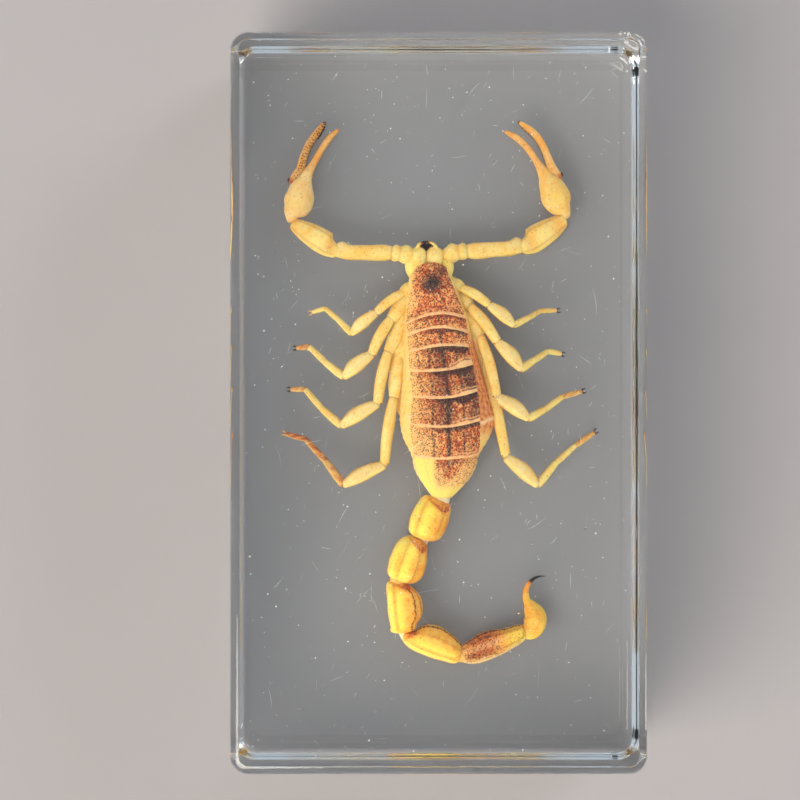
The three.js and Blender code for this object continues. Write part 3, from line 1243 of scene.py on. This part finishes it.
# The places along each leg: hip, root, ring, knee bend, heel, ankle, toe joint and tip.
LEGS = {
    "leg_left_1": ((-0.9, 12.2, 3.6), (-2.7, 11.9, 4.1), (-3.5, 11.25, 4.7), (-6.25, 9.2, 5.3),
                   (-8.75, 7.1, 5.2), (-10.1, 8.5, 4.5), (-11.5, 9.7, 3.8), (-12.75, 9.35, 3.2)),
    "leg_left_2": ((-0.9, 11.2, 3.4), (-2.9, 10.9, 4.1), (-4.7, 8.6, 4.85), (-6.7, 4.95, 5.3),
                   (-9.55, 2.65, 5.2), (-11.45, 4.15, 4.4), (-13.1, 5.75, 3.7), (-14.35, 5.65, 3.1)),
    "leg_left_3": ((-0.9, 10.1, 3.2), (-3.2, 8.9, 4.0), (-5.0, 5.25, 4.75), (-6.1, -0.1, 5.2),
                   (-9.8, -2.35, 5.1), (-11.8, -0.6, 4.3), (-13.55, 1.4, 3.6), (-14.95, 1.4, 3.0)),
    "leg_left_4": ((-0.9, 9.2, 3.1), (-3.95, 4.8, 4.2), (-4.4, 0.6, 4.7), (-5.4, -6.35, 5.0),
                   (-9.6, -8.4, 5.0), (-11.45, -5.95, 4.2), (-13.5, -3.75, 3.5), (-15.5, -3.2, 2.9)),
    "leg_right_1": ((0.3, 12.3, 3.6), (1.6, 12.3, 4.1), (2.5, 11.75, 4.7), (5.3, 10.0, 5.3),
                    (7.8, 7.95, 5.2), (9.4, 8.75, 4.5), (10.6, 9.45, 3.8), (12.2, 9.5, 3.2)),
    "leg_right_2": ((0.3, 11.3, 3.4), (2.3, 10.9, 4.0), (3.35, 9.9, 4.6), (6.15, 6.2, 5.3),
                    (8.55, 3.45, 5.2), (10.0, 4.4, 4.4), (11.4, 5.3, 3.7), (12.7, 5.05, 3.1)),
    "leg_right_3": ((0.3, 10.2, 3.2), (2.9, 9.3, 4.0), (4.4, 6.9, 4.6), (6.1, 0.6, 5.2),
                    (9.3, -1.6, 5.1), (11.0, -0.7, 4.3), (12.9, 0.65, 3.6), (14.8, 1.15, 3.0)),
    "leg_right_4": ((0.3, 9.3, 3.1), (3.3, 6.9, 3.6), (4.75, 4.3, 4.2), (7.05, -5.6, 5.0),
                    (10.25, -8.45, 5.0), (12.2, -6.1, 4.2), (14.2, -4.4, 3.5), (16.1, -3.1, 2.9)),
}
# The segments of a leg, in the order of LEG_STAGES.
HIP, RING, THIGH, KNEE, SHIN, FOOT, TOE = range(7)

# How red the shin, the foot and the toe of each leg are.
REDDENED = {
    "leg_left_1": (0.0, 0.1, 0.0), "leg_left_2": (0.0, 0.1, 0.95), "leg_left_3": (0.1, 0.15, 0.85),
    "leg_left_4": (0.8, 1.1, 1.25), "leg_right_1": (0.15, 0.35, 0.3), "leg_right_2": (0.0, 0.1, 0.05),
    "leg_right_3": (0.0, 0.15, 0.75), "leg_right_4": (0.0, 0.15, 0.7),
}
PALE_CLAWS = ("leg_left_1", "leg_left_4")  # the other legs' claws are black
BRISTLINESS = {KNEE: 0.35, SHIN: 0.9, FOOT: 1.0, TOE: 1.0}
BRISTLES_ON_A_FOOT = 26
# For each segment, its half widths behind and in front at four places along it, and how far its
# middle bows up.
LEG_STAGES = (
    ((0.8, 0.8), (0.95, 0.95), (0.95, 0.95), (0.75, 0.75), 0.0),
    ((0.56, 0.56), (0.72, 0.76), (0.72, 0.76), (0.54, 0.54), 0.0),
    ((0.44, 0.44), (0.58, 0.6), (0.57, 0.6), (0.46, 0.48), 0.1),
    ((0.4, 0.4), (0.55, 0.8), (0.6, 0.92), (0.34, 0.34), 0.12),
    ((0.34, 0.34), (0.42, 0.42), (0.38, 0.38), (0.33, 0.33), 0.02),
    ((0.29, 0.29), (0.34, 0.34), (0.31, 0.31), (0.27, 0.27), 0.0),
    ((0.23, 0.23), (0.29, 0.29), (0.27, 0.27), (0.2, 0.2), 0.05),
)


def leg(name, material):
    """A walking leg: hip, then six segments, each narrower than the last, and two claws."""
    places = [np.array(place, float) for place in LEGS[name]]
    ankle, toe_joint, tip = places[5:]
    way = np.sign(tip[0] - places[1][0])
    chance = np.random.default_rng(list(LEGS).index(name) + 70)
    stout = 0.86 if name.endswith("1") else 1.0
    shape = Shape()
    for number, (start, end) in enumerate(zip(places, places[1:])):
        *sizes, bow = LEG_STAGES[number]
        ahead = unit(end - start)
        middle = (start + end) / 2 + np.array([0, 0, bow])
        if number == THIGH:
            middle = middle + np.array([0.12 * way, 0.12, 0.0])
        widths = mirrored([(place, tuple(stout * half for half in pair))
                           for place, pair in zip((0.0, 0.28, 0.62, 1.0), sizes)], way)
        tube = Tube(
            [start - ahead * 0.16, middle, end + ahead * 0.14], widths,
            keels=((90, 0.03), (152, 0.04), (28, 0.04)) if number in (THIGH, KNEE) else (),
            rings=34, around=36, ends=(0.05, 0.06) if number < SHIN else (0.08, 0.1),
            boxy=2.2, wobble=0.03,
        )
        tint = 0.5 * REDDENED[name][number - SHIN] if number >= SHIN else 0.0
        blotches = 0.92 + 0.2 * np.sin(15 * tube.far + 3 * np.cos(np.radians(tube.about)) + number)
        free = number >= THIGH
        neck = 0.26 * tube.band(0.03, 0.025) * free
        outside = 180 - inner_side(way)
        tint = tint * blotches * (1 - 0.6 * tube.toward(outside, 55))
        dark = neck + 0.2 * tube.beyond(0.95, 1.0) * free + tint
        warm = 0.35 + 0.6 * tube.toward(outside, 75) * free
        # Painted shade and highlight: both sides of each segment get the darker keel colour, and its top is
        # painted paler.
        shaded_sides = tube.toward(0, 34) + tube.toward(180, 34)
        ridge = tube.ridge * (0.8 - 0.6 * tube.toward(90, 25)) + 0.3 * shaded_sides * free
        shape.sweep(tube, ridge=ridge, dark=dark, grain=BRISTLINESS.get(number, 0.2), warm=warm,
                    pale=(0.34 if number == KNEE else 0.08) * tube.toward(90, 60))
        if number >= KNEE:
            for side in (0, 180):
                shape.add(*egg(tube.at(0.05, side), 0.075, 6, 8), dark=0.7)
        if number == THIGH:
            for angle in (40, 140):
                shape.add(*egg(tube.at(0.965, angle), (0.13, 0.1, 0.08), 6, 8), dark=0.55)
        if number in (THIGH, KNEE):
            grains(shape, tube, (28, 152), 0.1, 0.92, 20, 0.03, 0.4, chance)
    claw_forward = unit(tip - toe_joint)
    for side in (-1, 1):
        spread = np.array([-claw_forward[1], claw_forward[0], 0.0]) * side
        hook = [tip, tip + claw_forward * 0.3 + spread * 0.22, tip + claw_forward * 0.6 + spread * 0.17]
        hook[2] = hook[2] - np.array([0, 0, 0.2])
        claw = Tube(hook, [(0, 0.1), (0.5, 0.075), (1, 0.02)], rings=12, around=10)
        shape.sweep(claw, dark=(0.2 if name in PALE_CLAWS else 0.8) + 0.2 * claw.far)
    for joint, reach in ((ankle, 0.36), (toe_joint, 0.3)):
        for side in (-1, 1):
            end = joint + np.array([0.1 * way, 0.16 * side - 0.05, -reach])
            spur = Tube([joint, end], [(0, 0.07), (1, 0.015)], rings=8, around=8)
            shape.sweep(spur, dark=0.5 * spur.far)
    for number in range(BRISTLES_ON_A_FOOT):
        place = 0.05 + 0.9 * number / BRISTLES_ON_A_FOOT
        point = smooth([(0, ankle), (1, toe_joint)], place)
        offset = np.array([chance.uniform(-0.2, 0.2), chance.uniform(-0.2, 0.2), 0.22])
        shape.add(*egg(point + offset, 0.035, 4, 6), dark=0.6)
    return shape.make(name, material)


# ---------------------------------------------------------------- tail

# Start, end and half height of each segment, and its half widths on the left and right on the way along.
TAIL = (
    ((-0.1, -9.65, 4.7), (-1.5, -14.0, 4.5), 1.7,
     ((0, (1.2, 1.1)), (0.1, (1.72, 1.34)), (0.3, (1.93, 1.68)), (0.5, (1.97, 1.82)), (0.75, (1.85, 1.78)),
      (0.9, (1.5, 1.55)), (1, (0.8, 1.0)))),
    ((-1.98, -13.75, 4.5), (-3.6, -18.35, 4.3), 1.65,
     ((0, (0.7, 0.85)), (0.08, (1.1, 1.25)), (0.22, (1.4, 1.7)), (0.48, (1.74, 1.93)), (0.72, (1.8, 1.92)),
      (0.87, (1.5, 1.8)), (1, (0.8, 1.4)))),
    ((-3.95, -18.1, 4.3), (-3.4, -23.6, 4.0), 1.6,
     ((0, (0.7, 1.2)), (0.11, (1.05, 1.26)), (0.3, (1.94, 1.3)), (0.52, (2.17, 1.35)), (0.75, (1.88, 1.31)),
      (0.84, (1.42, 1.25)), (0.97, (1.08, 1.15)), (1, (0.8, 0.9)))),
    ((-3.5, -23.65, 4.0), (2.45, -26.05, 3.6), 1.5,
     ((0, (0.35, 0.5)), (0.1, (0.55, 0.85)), (0.17, (0.8, 1.0)), (0.25, (1.5, 1.1)), (0.39, (1.95, 1.16)),
      (0.55, (2.03, 1.14)), (0.735, (1.75, 1.02)), (0.91, (1.25, 0.9)), (1, (0.9, 0.75)))),
    ((2.2, -25.85, 3.6), (9.05, -23.35, 3.2), 1.25,
     ((0, (0.4, 0.75)), (0.1, (0.78, 1.15)), (0.22, (1.02, 1.4)), (0.38, (1.26, 1.5)), (0.52, (1.23, 1.45)),
      (0.71, (0.9, 1.28)), (0.9, (0.78, 1.0)), (1, (0.66, 0.75)))),
)
# Angles of the keels that show, and how dark their grains are: the back's edge is on the left.
TAIL_KEELS = (
    ((150, 0.36), (122, 0.15), (62, 0.1), (14, 0.1)),
    ((152, 0.3), (116, 0.36), (70, 0.1), (14, 0.1)),
    ((150, 0.56), (126, 0.8), (66, 0.12), (12, 0.1)),
    ((150, 0.92), (112, 0.2), (60, 0.1), (8, 0.2)),
    ((148, 0.92), (112, 0.2), (58, 0.4), (8, 0.15)),
)
LOWER_TAIL_KEELS = ((-38, 0.1), (-142, 0.1), (-72, 0.08), (-108, 0.08))  # angle, height


def tail_segment(number, material):
    """One keeled segment of the tail, pinched at its front joint and full behind it."""
    start, end, half_height, widths = TAIL[number - 1]
    start, end = np.array(start), np.array(end)
    chance = np.random.default_rng(80 + number)
    keels = [(angle, 0.08) for angle, _ in TAIL_KEELS[number - 1]]
    keels += LOWER_TAIL_KEELS
    tube = Tube(
        [start, (start + end) / 2, end], widths,
        [(0, 0.5 * half_height), (0.1, 0.75 * half_height), (0.45, half_height), (0.85, 0.95 * half_height),
         (1, 0.6 * half_height)],
        keels=keels, boxy=2.25, ends=(0.04, 0.04), rings=96, around=108, furrow=0.05, wobble=0.02,
    )
    back = tube.toward(150, 50)
    collar = 0.06 + (0.17 if number < 3 else 0.1) * tube.toward(122, 38)
    rim = tube.band(collar, 0.025) * tube.toward(122, 62)
    neck = (1 - tube.beyond(collar - 0.02, collar + 0.01)) * tube.toward(125, 70)
    joint_patch = tube.toward(132, 26) * bell(tube.far - collar + 0.01, 0.06)
    rear_corner = tube.toward(160, 30) * tube.beyond(0.9, 0.98)
    # Painted light: bright streaks along the top of each segment, painted as a glow.
    streaks = np.maximum(tube.toward(84, 14), 0.8 * tube.toward(36, 14))
    painted_glow = streaks * tube.beyond(0.12, 0.3) * (1 - tube.beyond(0.85, 0.95))
    shape = Shape()
    if number == 5:
        stripe = tube.toward(64, 16) * tube.band(0.31, 0.2)
        upper = tube.toward(124, 30) * tube.band(0.42, 0.24)
        lower = 1 - rise((tube.about + 180) % 360 - 180, 10, 34)
        body = (1 - tube.beyond(0.5, 0.72)) * (1 - lower)
        dark = np.clip(0.76 * stripe + 0.5 * upper + 0.15 * body + 0.3 * rear_corner, 0, 0.6)
        grain = 0.5 + 1.0 * np.maximum(np.maximum(stripe, upper), 0.6 * body)
        pale = 0.9 * lower + 0.4 * tube.toward(92, 9) * tube.band(0.4, 0.3) + 0.26 * body
        warm = 0.7 * tube.beyond(0.6, 0.85) * (1 - lower)
    else:
        dark = 0.6 * rim + 0.32 * neck + 0.5 * joint_patch + 0.5 * rear_corner + 0.05 * back * (number > 2)
        dark = np.minimum(dark + 0.2 * tube.band(0.985, 0.015), 0.56)
        grain = 0.15 + 0.5 * tube.ridge + 0.8 * np.maximum(rim, joint_patch)
        # Painted highlight: the side towards the lower left, which faces the key light, is paler and brighter
        # yellow.
        pale = 0.3 * tube.toward(4, 24)
        warm = painted_glow + 0.6 * tube.toward(14, 55)
    shape.sweep(tube, ridge=0.35 * tube.ridge + 0.4 * back, dark=dark, pale=pale, warm=warm, grain=grain)
    for angle, strength in TAIL_KEELS[number - 1]:
        grains(shape, tube, (angle,), 0.12, 0.93, 32, 0.056 + 0.03 * strength, strength, chance)
    grains(shape, tube, (-38, -72, -108, -142), 0.09, 0.93, 22, 0.055, 0.2, chance)
    if number > 3:
        grains(shape, tube, (2, -6, -14), 0.04, 0.86, 44, 0.06, 0.0, chance)
    return shape.make(f"tail_segment_{number}", material)


# Soft links of the tail: centre, direction, half width, and how pale it is.
TAIL_LINKS = (
    ((0.4, -9.75, 4.7), (-0.2, -1.0, 0.0), 0.85, 1.0),
    ((-1.5, -13.9, 4.5), (-0.3, -1.0, 0.0), 0.62, 1.0),
    ((-3.85, -18.25, 4.3), (-0.1, -1.0, 0.0), 0.95, 0.0),
    ((-3.35, -23.55, 4.0), (0.5, -1.0, 0.0), 0.55, 1.0),
    ((2.35, -25.85, 3.6), (1.0, 0.0, 0.0), 0.75, 0.0),
    ((9.1, -23.5, 3.2), (1.0, 0.4, 0.0), 0.6, 0.0),
)


def tail_joints(material):
    """The soft skin that links the tail's segments, pale where it is stretched."""
    shape = Shape()
    for centre, along, size, paleness in TAIL_LINKS:
        centre, along = np.array(centre), unit(np.array(along))
        link = Tube(
            [centre - along * 0.8, centre, centre + along * 0.8], [(0, size), (0.5, size * 1.06), (1, size)],
            ends=(0.2, 0.2), rings=26, around=40, wobble=0.04,
        )
        shape.sweep(link, pale=paleness, warm=1 - paleness, ridge=0.6 * (1 - paleness))
    return shape.make("tail_joints", material)


def sting(material):
    """The poison bulb, and the curved sting that it tapers into."""
    bulb = Shape()
    chance = np.random.default_rng(90)
    swelling = Tube(
        [(8.7, -23.75, 3.2), (9.7, -23.2, 3.1), (10.12, -22.1, 3.0), (9.6, -20.9, 2.95), (9.2, -20.2, 2.92),
         (9.14, -19.5, 2.9)],
        [(0, 0.55), (0.16, 1.0), (0.36, 1.18), (0.52, 1.1), (0.68, 0.8), (0.8, 0.46), (1, 0.31)],
        [(0, 0.5), (0.2, 0.9), (0.4, 1.08), (0.6, 0.9), (0.8, 0.45), (1, 0.3)],
        ends=(0.04, 0.03), rings=80, around=64,
    )
    seam = swelling.toward(70, 9) * swelling.band(0.4, 0.3)
    rim = swelling.toward(175, 18) * swelling.band(0.3, 0.2)
    bulb.sweep(swelling, dark=0.12 * seam + 0.3 * rim, grain=0.5, ridge=0.4,
               warm=0.7 * swelling.toward(20, 50))
    grains(bulb, swelling, (-60, -90, -120), 0.1, 0.6, 12, 0.05, 0.2, chance)
    spine = Shape()
    curve = Tube(
        [(9.14, -19.9, 2.9), (9.14, -19.3, 2.88), (9.42, -18.65, 2.85), (9.9, -18.12, 2.82),
         (10.5, -17.85, 2.78), (11.2, -17.82, 2.74)],
        [(0, 0.32), (0.25, 0.27), (0.45, 0.21), (0.7, 0.14), (1, 0.02)],
        ends=(0.03, 0.02), rings=70, around=28,
    )
    spine.sweep(curve, dark=0.08 + 0.92 * curve.beyond(0.38, 0.52), ridge=0.7)
    return bulb.make("poison_bulb", material), spine.make("sting", material)


# ---------------------------------------------------------------- the scorpion

def scorpion():
    gold = cuticle("golden_cuticle", LEMON, GOLD, AMBER, colour(255, 226, 118))
    amber = cuticle("amber_cuticle", colour(255, 214, 92), colour(255, 186, 58), colour(232, 112, 26),
                    colour(255, 236, 96), 0.03, colour(206, 78, 20))
    skin = cuticle("soft_membrane", colour(255, 218, 150), colour(252, 200, 116), colour(236, 130, 50),
                   colour(255, 212, 104), 0.03, colour(186, 72, 30))
    brown = plate_cuticle("brown_cuticle")
    granules = granule_tree()
    bristles = bristle_tree()

    def keep(piece):
        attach(piece, "root")

    def granular(piece, density, smallest, largest):
        return grow(piece, granules, Density=density / MM**2, Smallest=smallest * MM, Largest=largest * MM)

    def bristly(piece, density, length, thickness=0.012):
        return grow(piece, bristles, Density=density / MM**2, Length=length * MM, Thickness=thickness * MM)

    keep(trunk_membrane(skin))
    keep(granular(head_shield(brown), 40.0, 0.03, 0.08))
    keep(eyes(eye_finish()))
    for number in range(1, 7):
        keep(granular(back_plate(number, brown), 36.0, 0.03, 0.075))
    keep(granular(last_back_plate(brown), 34.0, 0.03, 0.06))
    for number, (front, back) in enumerate(zip(BELLY_BORDERS, BELLY_BORDERS[1:]), 1):
        keep(belly_plate(f"belly_plate_{number}", front, back, gold, breathing=number < 5))
    keep(chest_plates(gold))
    for side, way in SIDES:
        keep(comb(f"comb_{side}", way, skin))
        keep(bristly(chelicera(f"chelicera_{side}", way, gold), 6.0, 0.3))

    for side, way in SIDES:
        limb = arm(f"pedipalp_{side}_arm", way, ARMS[side], STOUTNESS[side], gold)
        keep(bristly(limb, 1.2, 0.4))
    for side, way in SIDES:
        keep(bristly(hand(f"pedipalp_{side}_hand", way, HANDS[side], gold), 1.5, 0.4))
    for side, way in SIDES:
        keep(bristly(moving_finger(f"pedipalp_{side}_finger", way, FINGERS[side], gold), 1.5, 0.35))
    for name in LEGS:
        keep(bristly(leg(name, gold), 2.6, 0.3))
    for number in range(1, 6):
        density, largest = (30.0, 0.085) if number == 5 else (8.0, 0.06)
        keep(granular(tail_segment(number, amber), density, 0.025, largest))
    keep(tail_joints(skin))
    bulb, spine = sting(amber)
    keep(bristly(bulb, 1.5, 0.35))
    keep(spine)


# ---------------------------------------------------------------- camera, light and floor

def aim(thing, target):
    """Turns a light towards a target, both in millimetres."""
    way = np.array(target) * MM - np.array(thing.location)
    thing.rotation_euler = Vector(way).to_track_quat("-Z", "Y").to_euler()


def camera():
    data = bpy.data.cameras.new("camera")
    data.sensor_width = SENSOR
    data.lens = SENSOR * CAMERA_HEIGHT / CAMERA_FRAME
    data.clip_start = 0.005
    data.clip_end = 20.0
    made = bpy.data.objects.new("camera", data)
    made.location = (*[place * MM for place in CAMERA_PLACE], (CAMERA_HEIGHT + BLOCK_HIGH[2]) * MM)
    bpy.context.scene.collection.objects.link(made)
    bpy.context.scene.camera = made


def soft_light(name, place, size, watts, tint):
    data = bpy.data.lights.new(name, "AREA")
    data.shape = "DISK"
    data.size = size * MM
    data.energy = watts
    data.color = tint[:3]
    made = bpy.data.objects.new(name, data)
    made.location = [p * MM for p in place]
    bpy.context.scene.collection.objects.link(made)
    aim(made, (0.0, 0.0, 0.0))


def studio():
    soft_light("key_light", (-560.0, -620.0, 820.0), 1150.0, 32.0, colour(255, 244, 230))
    soft_light("rim_light", (700.0, 500.0, 500.0), 500.0, 5.0, colour(240, 244, 255))
    world = bpy.data.worlds.new("studio")
    world.use_nodes = True
    sky = world.node_tree.nodes["Background"]
    sky.inputs["Color"].default_value = colour(232, 236, 240)
    sky.inputs["Strength"].default_value = 0.72
    bpy.context.scene.world = world
    view = bpy.context.scene.view_settings
    view.view_transform = "Standard"


def floor():
    """A plain pale table top, a hair below the block's resting face."""
    half = 1500.0
    gap = 0.03
    side = 9
    steps = np.linspace(-half, half, side)
    points = [(x * MM, y * MM, (BLOCK_LOW[2] - gap) * MM) for y in steps for x in steps]
    corners = [r * side + c for r in range(side - 1) for c in range(side - 1)]
    faces = [(corner, corner + 1, corner + side + 1, corner + side) for corner in corners]
    mesh = bpy.data.meshes.new("floor")
    mesh.from_pydata(points, [], faces)
    greys = colour(134, 132, 134), colour(139, 137, 138)
    mesh.materials.append(matt_finish("pale_floor", 30.0, *greys, Specular_IOR_Level=0.1))
    made = bpy.data.objects.new("floor", mesh)
    bpy.context.scene.collection.objects.link(made)


camera()
studio()
floor()
resin_block()
dust = matt_finish("dust_white", 0.4, WHITE, colour(244, 242, 238))
dust_specks(dust)
fine_scratches(dust)
scorpion()
